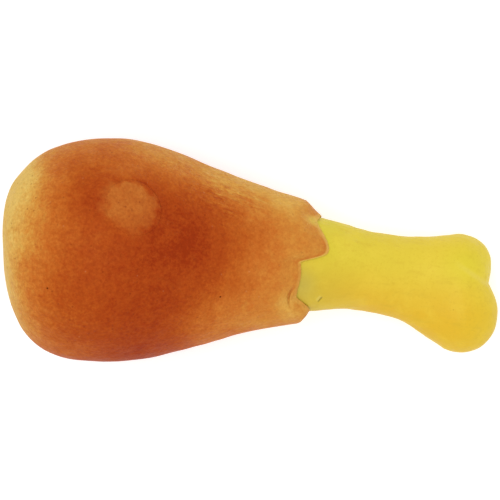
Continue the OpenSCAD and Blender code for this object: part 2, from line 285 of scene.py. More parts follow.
def throat_point(x, a, inset=0.0):
    """The skin's inside where the belly narrows to the bone."""
    u = step(THROAT_START, THROAT_END, x)[..., None]
    wide = meat_point(x, a, SKIN_WALL + inset)
    narrow = bone_point(np.maximum(x, 0), a, inset - SOFT_GAP)
    return wide + (narrow - wide) * u


def blunt_xs(count, inset=0.0):
    """Places along the blunt end, from next to the tip to the belly."""
    t = np.linspace(0, 90, count + 1)[1:]
    return BELLY_X - (BLUNT_LENGTH - inset) * cosd(t) ** (2 / BLUNT_POWER)


def tip(inset=0.0):
    return meat_point(BELLY_X - BLUNT_LENGTH + inset, 0.0, inset)


def frame_at(spot):
    """Origin and axes (columns, z outward) of the skin at a place on its upper side."""
    x, y = spot
    a = math.degrees(math.acos((y - float(smooth(MEAT_LINE, x, 1))) / float(meat_half(x, 1, 0))))
    along = meat_point(x + 1, a) - meat_point(x - 1, a)
    around = meat_point(x, a + 1) - meat_point(x, a - 1)
    n = np.cross(around, along)
    n /= np.linalg.norm(n)
    tilt, turn = math.acos(n[2]), math.atan2(n[1], n[0])
    axes = Matrix.Rotation(turn, 3, "Z") @ Matrix.Rotation(tilt, 3, "Y")
    return meat_point(x, a), np.array(axes)


PLUG_O, PLUG_AXES = frame_at(PLUG_SPOT)
PLUG_N = PLUG_AXES[:, 2]
PLUG_AXIS = tuple(float(v) for v in PLUG_N)

# The plug's rim shows most on this side, which is a direction at right angles to its axis.
SHARP_SIDE = np.array([0.8, 0.6, 0.0])
SHARP_SIDE = SHARP_SIDE - PLUG_N * (SHARP_SIDE @ PLUG_N)
SHARP_SIDE /= np.linalg.norm(SHARP_SIDE)


def plug_local(p):
    return (p - PLUG_O) @ PLUG_AXES


def plug_world(p):
    return PLUG_O + np.asarray(p, float) @ PLUG_AXES.T


def plug_dome(r):
    """Height of the plug's face, at r from its axis."""
    return -PLUG_RISE * (r / PLUG_HOLE_R) ** 2


def metres(p):
    return tuple(float(v) * MM for v in p)


# ---- relief

def waves(p, seed, longest, shortest, count, stretch=(1, 1, 1)):
    """Smooth seeded noise between about -1 and 1, made of sines with the given wavelengths."""
    rng = np.random.default_rng(seed)
    out = np.zeros(p.shape[:-1])
    total = 0.0
    for i in range(count):
        length = longest * (shortest / longest) ** (i / max(count - 1, 1))
        d = rng.normal(size=3)
        d /= np.linalg.norm(d)
        weight = (length / longest) ** 0.7
        phase = (p * np.array(stretch)) @ d * (2 * math.pi / length)
        out += weight * np.sin(phase + rng.uniform(0, 6.28))
        total += weight ** 2
    return out / math.sqrt(total) / 1.2


def swells(p, places):
    """Broad soft bulges: centre, radius, height."""
    return sum(height * (1 - step(0, 1, np.linalg.norm(p - np.array(centre), axis=-1) / radius))
               for centre, radius, height in places)


def grid_normals(rows):
    """Outward unit normals of rows of points that follow +x, with columns from +Y towards +Z."""
    along = np.gradient(rows, axis=0)
    around = np.roll(rows, -1, axis=1) - np.roll(rows, 1, axis=1)
    n = np.cross(around, along)
    return n / np.maximum(np.linalg.norm(n, axis=-1, keepdims=True), 1e-9)


def floor_mask(p):
    """0 where the prop rests on the floor, so that relief leaves it flat there."""
    return step(0.3, 7.0, p[..., 2])


def lumpy(rows, seed, depth):
    """Pushes a stuffing's surface in by up to depth, never out."""
    relief = 0.5 * waves(rows, seed, 16, 8, 9) + 0.5 * waves(rows, seed + 1, 7, 3, 12)
    keep = step(2.4, 7.0, rows[..., 2])
    push = depth * (0.5 - 0.5 * np.clip(relief, -1, 1)) * keep
    return rows - grid_normals(rows) * push[..., None]


# ---- mesh tools

def add_object(name, data):
    obj = bpy.data.objects.new(name, data)
    bpy.context.collection.objects.link(obj)
    return obj


def surface(name, verts, faces):
    """An object made of points and faces, with its normals outward."""
    mesh = bpy.data.meshes.new(name)
    mesh.from_pydata((verts * MM).tolist(), [], faces)
    bm = bmesh.new()
    bm.from_mesh(mesh)
    bmesh.ops.recalc_face_normals(bm, faces=bm.faces)
    bm.to_mesh(mesh)
    bm.free()
    return add_object(name, mesh)


def quads(count, n, closed=False):
    """Faces between rings of n points; closed joins the last ring to the first."""
    i, j = np.meshgrid(np.arange(count if closed else count - 1), np.arange(n), indexing="ij")
    low, high, beside = i * n, (i + 1) % count * n, (j + 1) % n
    faces = np.stack([low + j, high + j, high + beside, low + beside], -1)
    return faces.reshape(-1, 4).tolist()


def round_mesh(name, rows, first, last):
    """A closed surface from one pole through rings of points to the other pole."""
    count, n = rows.shape[:2]
    ring = np.arange(n)
    after = (ring + 1) % n
    low = (count - 1) * n
    start = np.stack([ring, after, np.full(n, count * n)], -1)
    end = np.stack([ring + low, np.full(n, count * n + 1), after + low], -1)
    return surface(name, np.concatenate([rows.reshape(-1, 3), [first, last]]),
                   quads(count, n) + start.tolist() + end.tolist())


def cut(obj, cutters):
    """Takes cylinders (origin, axes, radius, low, high, sides) out of obj for good."""
    tools = []
    for origin, axes, radius, low, high, sides in cutters:
        ring = np.radians(np.arange(sides) * 360 / sides)
        loops = [np.stack([radius * np.cos(ring), radius * np.sin(ring), np.full(sides, h)], -1)
                 for h in (low, high)]
        p = (origin + np.concatenate(loops) @ axes.T) * MM
        faces = [[i, (i + 1) % sides, sides + (i + 1) % sides, sides + i] for i in range(sides)]
        faces += [list(range(sides))[::-1], list(range(sides, 2 * sides))]
        mesh = bpy.data.meshes.new("cutter")
        mesh.from_pydata(p.tolist(), [], faces)
        tools.append(add_object("cutter", mesh))
        modifier = obj.modifiers.new("cut", "BOOLEAN")
        modifier.operation = "DIFFERENCE"
        modifier.solver = "EXACT"
        modifier.object = tools[-1]
    bpy.context.view_layer.update()
    evaluated = obj.evaluated_get(bpy.context.evaluated_depsgraph_get())
    final = bpy.data.meshes.new_from_object(evaluated)
    obj.modifiers.clear()
    old, obj.data = obj.data, final
    final.name = obj.name
    bpy.data.meshes.remove(old)
    for tool in tools:
        mesh = tool.data
        bpy.data.objects.remove(tool)
        bpy.data.meshes.remove(mesh)


def finish_mesh(obj, sharp=48):
    """Smooth shading with crisp edges. Stores and returns the points' rest places."""
    mesh = obj.data
    mesh.shade_smooth()
    mesh.set_sharp_from_angle(angle=math.radians(sharp))
    co = np.empty(len(mesh.vertices) * 3, np.float32)
    mesh.vertices.foreach_get("co", co)
    rest = mesh.attributes.new("rest", "FLOAT_VECTOR", "POINT")
    rest.data.foreach_set("vector", co / MM)
    return co.reshape(-1, 3) / MM


def add_value(obj, name, values):
    attribute = obj.data.attributes.new(name, "FLOAT", "POINT")
    attribute.data.foreach_set("value", np.asarray(values, np.float32))


# ---- node materials

def linear(code):
    """A linear colour from an sRGB hex code."""
    c = [int(code[i:i + 2], 16) / 255 for i in (0, 2, 4)]
    return tuple(v / 12.92 if v <= 0.04045 else ((v + 0.055) / 1.055) ** 2.4 for v in c) + (1,)


class Shade:
    """A Principled material whose inputs are built from small node expressions."""

    def __init__(self, name, **values):
        self.material = bpy.data.materials.new(name)
        self.material.use_nodes = True
        self.tree = self.material.node_tree
        self.bsdf = self.tree.nodes["Principled BSDF"]
        for key, value in values.items():
            self.bsdf.inputs[key.replace("_", " ")].default_value = value

    def node(self, kind, **settings):
        n = self.tree.nodes.new(kind)
        for key, value in settings.items():
            setattr(n, key, value)
        return n

    def put(self, value, socket):
        if isinstance(value, bpy.types.NodeSocket):
            self.tree.links.new(value, socket)
        else:
            socket.default_value = value

    def math(self, operation, a, b=0.0, c=0.0):
        n = self.node("ShaderNodeMath", operation=operation)
        for value, socket in zip((a, b, c), n.inputs):
            self.put(value, socket)
        return n.outputs[0]

    def times(self, product, *factors):
        for factor in factors:
            product = self.math("MULTIPLY", product, factor)
        return product

    def plus(self, base, change, factor):
        """base + change * factor."""
        return self.math("MULTIPLY_ADD", change, factor, base)

    def gap(self, a, b):
        """How far apart two values are."""
        return self.math("ABSOLUTE", self.math("SUBTRACT", a, b))

    def vector(self, operation, a, b=(0, 0, 0)):
        n = self.node("ShaderNodeVectorMath", operation=operation)
        self.put(a, n.inputs[0])
        self.put(b, n.inputs[1])
        return n.outputs["Value" if operation in ("LENGTH", "DOT_PRODUCT") else "Vector"]

    def split(self, value):
        """The three parts of a vector or colour."""
        n = self.node("ShaderNodeSeparateXYZ")
        self.put(value, n.inputs[0])
        return n.outputs

    def rest(self):
        return self.node("ShaderNodeAttribute", attribute_name="rest").outputs["Vector"]

    def value_of(self, name):
        return self.node("ShaderNodeAttribute", attribute_name=name).outputs["Fac"]

    def local(self):
        """Place on a CAD piece."""
        place = self.node("ShaderNodeTexCoord").outputs["Object"]
        return self.vector("MULTIPLY", place, (1 / MM,) * 3)

    def across_plug(self, place):
        """The offset from the plug's axis."""
        offset = self.vector("SUBTRACT", place, tuple(PLUG_O))
        n = self.node("ShaderNodeVectorMath", operation="SCALE")
        n.inputs[0].default_value = PLUG_AXIS
        self.put(self.vector("DOT_PRODUCT", offset, PLUG_AXIS), n.inputs["Scale"])
        return self.vector("SUBTRACT", offset, n.outputs[0])

    def texture(self, kind, place, **values):
        n = self.node("ShaderNodeTex" + kind)
        self.put(place, n.inputs["Vector"])
        for key, value in values.items():
            n.inputs[key].default_value = value
        return n.outputs

    def noise(self, place, size, detail=2.0, rough=0.5, warp=0.0):
        """Noise from 0 to 1 with features of about the given size."""
        return self.texture("Noise", place, Scale=1 / size, Detail=detail, Roughness=rough,
                            Distortion=warp)["Fac"]

    def remap(self, value, lo, hi, out_lo=0.0, out_hi=1.0, kind="SMOOTHSTEP"):
        n = self.node("ShaderNodeMapRange", interpolation_type=kind)
        for item, socket in zip((value, lo, hi, out_lo, out_hi), n.inputs):
            self.put(item, socket)
        return n.outputs[0]

    def spread(self, value, edge, reach):
        """Noise from edge to 1 - edge, stretched to run from -reach to reach."""
        return self.remap(value, edge, 1 - edge, -reach, reach, "LINEAR")

    def mix(self, share, a, b, blend="MIX"):
        n = self.node("ShaderNodeMix", data_type="RGBA", blend_type=blend)
        self.put(share, n.inputs[0])
        self.put(a, n.inputs[6])
        self.put(b, n.inputs[7])
        return n.outputs[2]

    def tint(self, colour, share, code):
        """A colour with a share of another one, given as a hex code, mixed in."""
        return self.mix(share, colour, linear(code))

    def ramp(self, value, stops, kind="LINEAR"):
        """Stops are places and either hex codes or grey values."""
        n = self.node("ShaderNodeValToRGB")
        n.color_ramp.interpolation = kind
        elements = n.color_ramp.elements
        while len(elements) < len(stops):
            elements.new(0.5)
        for element, (at, _) in zip(elements, stops):
            element.position = at
        for element, (_, colour) in zip(elements, stops):
            element.color = linear(colour) if isinstance(colour, str) else (colour,) * 3 + (1,)
        self.put(value, n.inputs[0])
        return n.outputs[0]

    def blob(self, place, centre, size):
        """1 at the centre, falling smoothly to 0 at the given size in each direction."""
        scaled = self.vector("DIVIDE", self.vector("SUBTRACT", place, centre), size)
        return self.remap(self.vector("LENGTH", scaled), 0.0, 1.0, 1.0, 0.0)

    def streaks(self, place):
        """Fine creases that run along the neck, 1 in the crease, else 0."""
        x, y, z = self.split(place)
        lean = self.node("ShaderNodeCombineXYZ")
        self.put(self.times(x, 0.16), lean.inputs[0])
        self.put(self.plus(y, x, 0.22), lean.inputs[1])
        self.put(self.plus(z, x, 0.12), lean.inputs[2])
        return self.remap(self.noise(lean.outputs[0], 1.5, 2.0, 0.55, 0.3), 0.42, 0.72)

    def specks(self, place, cell, radius):
        """1 in small scattered dots of mixed sizes, else 0."""
        spots = self.texture("Voronoi", place, Scale=1 / cell)
        chance = self.split(spots["Color"])[0]
        size = self.remap(chance, 0.35, 1.0, 0.02, radius / cell, "LINEAR")
        return self.remap(spots["Distance"], self.times(size, 0.4), size, 1.0, 0.0)

    def bump(self, height, distance, strength=1.0):
        """Bump from a height between 0 and 1, whose full range is the given distance."""
        n = self.node("ShaderNodeBump")
        n.inputs["Strength"].default_value = strength
        n.inputs["Distance"].default_value = distance * MM
        self.put(height, n.inputs["Height"])
        return n.outputs[0]

    def use(self, **links):
        for key, value in links.items():
            self.put(value, self.bsdf.inputs[key.replace("_", " ")])
        return self.material


# Airbrushed paint: how much red-brown there is, from 0 to 1, and the colours it goes through.
PAINT_COLOURS = [
    (0.0, "E2BA60"), (0.12, "DDA84E"), (0.28, "D28B38"), (0.45, "C76F28"),
    (0.60, "BC5D1C"), (0.75, "B04C14"), (0.90, "A6400F"), (1.0, "9A330A"),
]
# Along the meat: x, and the paint's amount there.
PAINT_ALONG = [
    (-96, 0.0), (-91, 0.03), (-87, 0.16), (-84, 0.28), (-80, 0.41), (-75, 0.54), (-69, 0.67),
    (-60, 0.77), (-48, 0.86), (-39, 0.91), (-29, 0.91), (-22, 0.86), (-14, 0.74), (-7, 0.62),
    (0, 0.49), (7, 0.39), (15, 0.31), (30, 0.28),
]
# Patches with less paint (below 0) or more (above 0): centre, size, change of the amount.
PAINT_PATCHES = [
    ((-30, 45, 45), (68, 29, 60), -0.72), ((-4, 33, 45), (26, 18, 45), -0.20),
    ((11, 26, 45), (14, 9, 40), -0.15), ((-57, 39, 55), (9, 7, 30), 0.06),
    ((-28, 30, 60), (38, 17, 30), -0.13), ((-9, -32, 48), (31, 27, 60), -0.29),
    ((-63, 17.5, 72), (13, 12, 20), 0.23), ((-21, 7, 68), (24, 18, 26), 0.09),
    ((17, -14, 45), (12, 9, 20), -0.10), ((-72, -14, 66), (20, 20, 30), 0.10),
    ((-88, 18, 50), (10, 22, 34), -0.12), ((20.0, 19.9, 43), (8, 3.6, 8), -0.20),
    ((7, 5, 65), (10, 9, 30), 0.08), ((14, -12, 50), (8, 8, 20), -0.10),
    ((-67, -3, 80), (12, 12, 30), 0.05), ((19, -15, 40), (8, 9, 20), -0.01),
    ((16.5, 9, 50), (5, 7, 30), 0.02), ((-68, 32, 50), (24, 12, 34), -0.10),
    ((-84, 22, 60), (9, 12, 30), -0.14), ((-84, -10, 70), (10, 14, 26), 0.08),
    ((-82, -32, 40), (14, 9, 30), -0.18), ((-62, -38, 54), (20, 9, 24), -0.12),
    ((-12, -15.5, 60), (24, 10, 26), -0.09), ((-2, 20, 58), (12, 7, 20), -0.08),
    ((-26, 21, 65), (10, 8, 20), -0.06), ((-42.5, 20.5, 70), (6, 6, 12), -0.07),
    ((-22, 2, 68), (22, 8, 24), 0.05), ((3, 12, 62), (9, 7, 20), 0.06),
    ((-50, 31, 66), (16, 7, 20), -0.05), ((-24, -23, 60), (13, 8, 20), -0.09),
    ((-82, 11, 70), (8, 8, 20), -0.05), ((-28, -4, 74), (14, 10, 20), -0.02),
    ((-51.5, 29, 70), (6, 4, 14), -0.13), ((-2, -26, 42), (14, 7, 16), 0.11),
    ((-57.5, 19, 73), (4, 7, 12), 0.10), ((18, -12.8, 46), (5, 4, 12), 0.10),
    ((-51, 8, 76), (8, 4, 14), -0.05),
]

# The bone's colours, on its upper and lower half in the picture, along BONE_COLOUR_XS. They are
# partly its own tone and partly painted light: the lower half is darker and more orange as painted
# shade, and both halves start darker next to the cuff as painted shade.
BONE_COLOUR_XS = (16.0, 100.0)
BONE_UPPER_TONE_AND_SHADE = [
    (0.0, "D2C23C"), (0.16, "D8C63C"), (0.4, "DEC63E"), (0.8, "E1C63F"), (1.0, "E6CF3E"),
]
BONE_LOWER_TONE_AND_SHADE = [
    (0.0, "C2AA40"), (0.16, "CFB138"), (0.4, "DDB232"), (0.8, "DFB530"), (1.0, "E2C033"),
]


def paint_amount(s, place):
    """The airbrush's soft edges wander a little, and the paint is slightly mottled."""
    x = s.math("ADD", s.split(place)[0], s.spread(s.noise(place, 26, 2.0), 0.25, 2.5))
    lo, hi = PAINT_ALONG[0][0], PAINT_ALONG[-1][0]
    along = s.remap(x, float(lo), float(hi), 0.0, 1.0, "LINEAR")
    amount = s.ramp(along, [((at - lo) / (hi - lo), amount) for at, amount in PAINT_ALONG], "EASE")
    for centre, size, change in PAINT_PATCHES:
        amount = s.plus(amount, s.blob(place, centre, size), change)
    amount = s.math("ADD", amount, s.spread(s.noise(place, 9, 3.0, 0.55), 0.25, 0.055))
    mottle = s.math("ADD", s.spread(s.noise(place, 2.6, 3.0, 0.6), 0.3, 0.062),
                    s.spread(s.noise(place, 0.9, 3.0, 0.65), 0.3, 0.065))
    return s.plus(amount, mottle, s.remap(x, -20.0, 8.0, 1.0, 0.55))


def latex_grain(s, place):
    """Fine orange-peel grain with open pores, as a height from 0 to 1."""
    grain = s.noise(place, 0.9, 3.0, 0.6)
    soft = s.noise(place, 3.2, 2.0, 0.5)
    pits = s.remap(s.texture("Voronoi", place, Scale=1 / 2.6)["Distance"], 0.05, 0.22)
    return s.plus(s.plus(s.times(grain, 0.4), soft, 0.6), pits, 0.25)


def plug_patch(s, place, across):
    """1 where the plug took less paint: nearly sharp at its right and top, soft elsewhere."""
    wander = s.remap(s.noise(place, 5, 3.0, 0.6), 0.3, 0.7, -1.5, 1.5)
    radius = s.vector("LENGTH", s.vector("SUBTRACT", across, (-0.9, 0.1, 0)))
    side = s.vector("DOT_PRODUCT", across, tuple(float(v) for v in SHARP_SIDE))
    soft = s.remap(side, -9.0, 6.0, 4.6, 2.2)
    reach = s.remap(side, -9.0, 6.0, 12.0, 10.8)
    patch = s.remap(s.math("ADD", radius, wander), s.math("SUBTRACT", reach, soft),
                    s.plus(reach, soft, 0.45), 1.0, 0.0)
    right, up, _ = s.split(across)
    # The last factor keeps the patch off the underside, which the plug's axis also meets.
    return s.times(patch, s.remap(right, 2.0, 9.0, 1.0, 0.65), s.remap(up, -11.0, -1.0, 0.50, 1.0),
                   s.remap(s.split(place)[2], 44.0, 54.0))


def meat_material(name):
    s = Shade(name, Specular_IOR_Level=0.045)
    place = s.rest()
    x, y, _ = s.split(place)
    across = s.across_plug(place)
    patch = plug_patch(s, place, across)
    amount = s.plus(paint_amount(s, place), patch, -0.29)

    # Fine creases on the neck's far side, each with a painted highlight on its light ridge next to
    # the painted shade of its dark furrow, and one short crease at the plug's rim, darkened with
    # painted shade.
    creased = s.times(s.blob(place, (-15, 24, 54), (26, 15, 34)),
                      s.remap(s.noise(place, 6, 2.0), 0.35, 0.6, 0.25, 1.0))
    furrow = s.streaks(place)
    ridge_highlight = s.streaks(s.vector("ADD", place, (0.1, -0.45, -0.25)))
    amount = s.plus(amount, s.times(s.math("SUBTRACT", furrow, ridge_highlight), creased), 0.26)
    # Painted shade darkens the short crease at the plug's rim, which is also a dent in the bump.
    rim_gap = s.gap(s.vector("LENGTH", across), PLUG_HOLE_R)
    rim_crease = s.times(s.remap(rim_gap, 0.2, 1.0, 1.0, 0.0),
                         s.blob(place, (-43.4, 27.6, 66), (6.0, 3.4, 9)))
    amount = s.plus(amount, rim_crease, 0.5)

    # Paint is a little heavier just behind the cuff's pale lip.
    depth = s.value_of("depth")
    heavy = s.times(s.remap(depth, 0.5, 1.2), s.remap(depth, 1.4, 3.2, 1.0, 0.0),
                    s.remap(s.gap(y, 9.0), 4.0, 8.0, 1.0, 0.15))
    amount = s.plus(amount, heavy, 0.08)

    # A curved fold in the lower cuff, with painted shade darkening its groove and a slightly
    # brighter tongue on its right.
    offset = s.vector("MULTIPLY", s.vector("SUBTRACT", place, FOLD_CENTRE), (1, 1, 0))
    bend = s.vector("LENGTH", offset)
    fold = s.times(s.remap(bend, FOLD_R + 0.9, FOLD_R), s.remap(bend, FOLD_R - 0.45, FOLD_R),
                   s.blob(place, FOLD_SPOT + (50,), (4.5, 6.0, 16)))
    amount = s.plus(amount, fold, 0.17)
    flap = s.times(s.blob(place, (18.6, -11.6, 48), (4.0, 3.6, 14)),
                   s.remap(bend, FOLD_R - 0.1, FOLD_R - 0.9))
    amount = s.plus(amount, flap, -0.03)
    colour = s.tint(s.ramp(amount, PAINT_COLOURS), s.times(patch, 0.24), "B26E34")

    # Paint is missing under the flap, and worn off at one corner of the cuff.
    worn = s.times(s.blob(place, (23.4, 19.8, 42.0), (7.5, 3.0, 7)), 0.85)
    colour = s.tint(colour, s.math("MAXIMUM", s.value_of("bare"), worn), "DCC64E")

    # The cuff's torn lip shows the undyed latex.
    width = s.times(s.remap(y, 11.0, 16.0, 1.0, 3.0), s.remap(y, 20.0, 23.0, 1.0, 0.4))
    lip = s.times(s.remap(depth, 0.3, width, 1.0, 0.0), s.remap(y, 2.0, 5.0, 0.45, 1.0),
                  s.remap(y, 22.0, 24.0, 1.0, 0.4), 0.65)
    colour = s.tint(colour, lip, "E4B458")

    # Uneven paint film, clogged pores, a few pale flecks and one small painted highlight.
    film = s.remap(s.noise(place, 1.3, 4.0, 0.7), 0.32, 0.68, 0.0,
                   s.remap(x, -20.0, 8.0, 0.66, 0.52))
    colour = s.mix(film, colour, (0.80, 0.80, 0.80, 1), "MULTIPLY")
    pores = s.times(s.specks(place, 2.6, 0.55), s.remap(x, -30.0, -6.0, 0.38, 0.12))
    colour = s.tint(colour, pores, "7A2A0A")
    flecks = s.specks(s.vector("ADD", place, (31, 17, 5)), 5.0, 0.5)
    colour = s.tint(colour, s.times(flecks, 0.13), "E8B080")
    # Painted highlight: one small pale spot on the belly's upper side.
    scuff_and_highlight = s.blob(place, (-46.3, 33.8, 60.5), (1.6, 0.9, 3.0))
    colour = s.tint(colour, s.times(scuff_and_highlight, 0.9), "F0C49A")

    height = latex_grain(s, place)
    for mark, rise in ((s.times(furrow, creased), -0.5), (rim_crease, -1.2), (fold, -1.0)):
        height = s.plus(height, mark, rise)
    rough = s.remap(s.noise(place, 5, 3.0), 0.3, 0.7, 0.50, 0.66, "LINEAR")
    return s.use(Base_Color=colour, Roughness=rough, Normal=s.bump(height, 0.55))


def bone_material(name):
    s = Shade(name, Specular_IOR_Level=0.07)
    place = s.rest()
    x, y, z = s.split(place)
    along = s.remap(s.plus(x, s.noise(place, 12, 2.0), 8.0), *BONE_COLOUR_XS, 0.0, 1.0, "LINEAR")
    # Painted shade: the lower half of the bone takes the darker, more orange colours.
    border = s.math("SUBTRACT", y, s.remap(x, 20.0, 55.0, 4.0, 0.0))
    colour = s.mix(s.remap(border, 9.0, -11.0), s.ramp(along, BONE_UPPER_TONE_AND_SHADE),
                   s.ramp(along, BONE_LOWER_TONE_AND_SHADE))

    # Pale clouds, and darker streaks along the bone and fine mottle.
    cloud = s.noise(place, 10, 4.0, 0.6, 0.6)
    colour = s.tint(colour, s.remap(cloud, 0.42, 0.72, 0.0, 0.28), "EACF48")
    streak = s.noise(s.vector("MULTIPLY", place, (0.25, 1, 1)), 2.4, 3.0, 0.6)
    colour = s.tint(colour, s.remap(streak, 0.5, 0.75, 0.0, 0.35), "CFAE34")
    fine = s.noise(place, 1.1, 3.0, 0.6)
    colour = s.tint(colour, s.remap(fine, 0.5, 0.75, 0.0, 0.3), "CBA92F")

    # Greener where the red paint never reached, painted shade beside the cuff, and specks.
    green = s.blob(place, (80, 10, 28), (14, 12, 22))
    colour = s.tint(colour, s.times(green, 0.35), "D2CC2C")
    # Painted shade: grey-green darkening on the bone where the cuff shades it.
    painted_cuff_shade = s.blob(place, (19.5, -5.0, 46), (8, 9, 16))
    colour = s.tint(colour, s.times(painted_cuff_shade, 0.55), "BCAA4E")
    colour = s.tint(colour, s.times(s.specks(place, 6.5, 0.5), 0.25), "9A7A24")

    # A painted highlight makes the shallow valley between the knuckles a little paler.
    line = s.gap(s.plus(y, x, 0.515), 49.5)
    valley_highlight = s.times(s.remap(line, 0.2, 1.8, 1.0, 0.0), s.remap(x, 74.0, 84.0),
                     s.remap(z, 18.0, 24.0), 0.18)
    colour = s.tint(colour, valley_highlight, "E8D27A")

    # A short slanting nick beside the cuff: its dark colour is painted shade in the cut, and a
    # pale painted highlight lies next to it.
    offset = s.vector("SUBTRACT", place, NICK)
    along_nick = s.math("ABSOLUTE", s.vector("DOT_PRODUCT", offset, (0.55, 0.835, 0)))
    across_nick = s.vector("DOT_PRODUCT", offset, (0.835, -0.55, 0))
    near = s.times(s.remap(along_nick, 0.7, 1.5, 1.0, 0.0), s.remap(z, 34.0, 36.0))
    nick = s.times(near, s.remap(s.math("ABSOLUTE", across_nick), 0.08, 0.36, 1.0, 0.0))
    nick_highlight = s.times(near, s.remap(s.gap(across_nick, -0.8), 0.0, 0.7, 1.0, 0.0))
    colour = s.tint(colour, s.times(nick_highlight, 0.3), "E8D878")
    colour = s.tint(colour, s.times(nick, 0.6), "86741E")

    height = s.plus(latex_grain(s, place), nick, -1.2)
    rough = s.remap(s.noise(place, 6, 3.0), 0.3, 0.7, 0.38, 0.52, "LINEAR")
    return s.use(Base_Color=colour, Roughness=rough, Normal=s.bump(height, 0.25, 0.9))


def fibre_material(name):
    s = Shade(name, Roughness=0.95, Specular_IOR_Level=0.1, Sheen_Weight=0.4)
    place = s.rest()
    strands = s.noise(s.vector("MULTIPLY", place, (1, 4, 4)), 3.0, 6.0, 0.7, 2.0)
    tufts = s.noise(place, 7, 4.0, 0.6)
    height = s.plus(s.times(strands, 0.4), tufts, 0.6)
    colour = s.ramp(height, [(0.25, "BDBAB2"), (0.5, "E2E0DA"), (0.8, "F4F3EF")])
    return s.use(Base_Color=colour, Normal=s.bump(height, 1.2, 0.9))


def plastic_material(name, code, rough, grain=0.5, own=False, **values):
    """Moulded plastic with flow marks, fine grain and scuffs. own is for pieces made here, which
    carry their rest places."""
    s = Shade(name, **values)
    place = s.rest() if own else s.local()
    flow = s.noise(place, 4.0, 2.0)
    dark = tuple(v * 0.86 for v in linear(code)[:3]) + (1,)
    colour = s.mix(s.remap(flow, 0.3, 0.7, 0.0, 0.6), linear(code), dark)
    scuff_and_highlight = s.remap(s.noise(place, 1.2, 4.0, 0.7), 0.62, 0.72)
    colour = s.tint(colour, s.times(scuff_and_highlight, 0.25), "F4F2EC")
    roughness = s.plus(s.remap(flow, 0.2, 0.8, rough - 0.05, rough + 0.08, "LINEAR"), scuff_and_highlight, 0.2)
    height = s.noise(place, grain, 3.0, 0.6)
    return s.use(Base_Color=colour, Roughness=roughness, Normal=s.bump(height, 0.04, 0.5))


# ---- pieces

def ring_angles(columns):
    return np.arange(columns) * 360 / columns


def turned(profile, a):
    """Rings of points round the plug's axis, from pairs of radius and height."""
    return plug_world([np.stack([r * np.cos(a), r * np.sin(a), h + 0 * a], -1)
                       for r, h in profile])


def meat_outer_rows(a):
    """Rows of the meat's outside, up to the torn edge, and their depths behind it."""
    blunt = meat_point(blunt_xs(88)[:, None], a)
    body = meat_point(np.linspace(BELLY_X, 0, 72)[1:, None], a)
    neck = meat_point(np.linspace(0, 1, 17)[1:, None] * (edge_x(a) - CUFF_ROWS), a)
    fall = smooth(CUFF_FALL, a, 1)
    share = np.linspace(0, 1, 6)[1:-1, None]
    turn = np.linspace(0, 90, 41)[:, None]
    depths = np.concatenate([CUFF_ROWS + share * (fall - CUFF_ROWS), fall * (1 - sind(turn))])
    outer = np.concatenate([blunt, body, neck, cuff_outer(depths, a)])
    depth_rows = np.full(outer.shape[:2], FAR_DEPTH)
    depth_rows[-len(depths):] = depths
    return outer, depth_rows


def meat_inner_rows(a):
    """Rows of the meat's inside, from the torn edge back to the blunt end."""
    lip_depths = np.array([0, 1, 2, 4, 6.0])[:, None]
    inner_lip = bone_point(edge_x(a) - lip_depths, a, -SOFT_GAP)
    share = np.linspace(1, 0, 6)[1:-1, None]
    length = edge_x(a) - lip_depths[-1] - THROAT_END
    gullet = bone_point(THROAT_END + share * length, a, -SOFT_GAP)
    throat = throat_point(np.linspace(THROAT_END, THROAT_START, 8)[:, None] + 0 * a, a)
    cave = meat_point(np.linspace(THROAT_START, BELLY_X, 19)[1:-1, None], a, SKIN_WALL)
    cap = meat_point(blunt_xs(16, SKIN_WALL)[::-1, None], a, SKIN_WALL)
    return np.concatenate([inner_lip, gullet, throat, cave, cap])


def onto_dome(outer):
    """Brings the skin round the plug onto a shallow dome, so that the plug's rim lies in one
    plane. Also gives 0 at the plug to 1 away from it."""
    local = plug_local(outer)
    r = np.hypot(local[..., 0], local[..., 1])
    near = local[..., 2] > UNDERSIDE
    share = np.where(near, 1 - step(*DOME_FADE, r), 0.0)
    local[..., 2] += (plug_dome(r) - local[..., 2]) * share
    outer = np.where((share > 0)[..., None], plug_world(local), outer)
    return outer, np.where(near, step(*RELIEF_FADE, r), 1.0)


def meat_relief(outer, a):
    """Uneven latex: broad lumps, finer ones, lengthwise wrinkles on the neck and a mould line."""
    x = outer[..., 0]
    relief = 0.32 * waves(outer, 3, 46, 24, 9) + 0.07 * waves(outer, 5, 14, 6, 16)
    relief += swells(outer, MEAT_SWELLS)
    wrinkled = step(-34, -14, x) * (1 - step(8, 20, x))
    relief += 0.07 * wrinkled * waves(outer, 8, 5, 2.6, 18, LENGTHWISE)
    angle = np.abs((a + 180) % 360 - 180)
    arc = np.radians(np.minimum(angle, 180 - angle)) * 30
    return relief + 0.10 * (np.exp(-(arc / 0.5) ** 2) * step(-92, -84, x))


def cuff_fold(outer, depth_rows):
    """Relief of the lower cuff's curved fold: a groove, with a raised flap inside its arc."""
    x, y, z = np.moveaxis(outer, -1, 0)
    bend = np.hypot(x - FOLD_CENTRE[0], y - FOLD_CENTRE[1]) - FOLD_R
    near = np.exp(-((y - FOLD_SPOT[1]) / 3.2) ** 2 - ((x - FOLD_SPOT[0]) / 3.0) ** 2)
    near = near * step(30, 36, z) * step(0.3, 1.5, depth_rows)
    return near * np.where(bend > 0, -0.30 * np.exp(-bend ** 2),
                           0.22 - 0.52 * np.exp(-(bend / 0.5) ** 2))


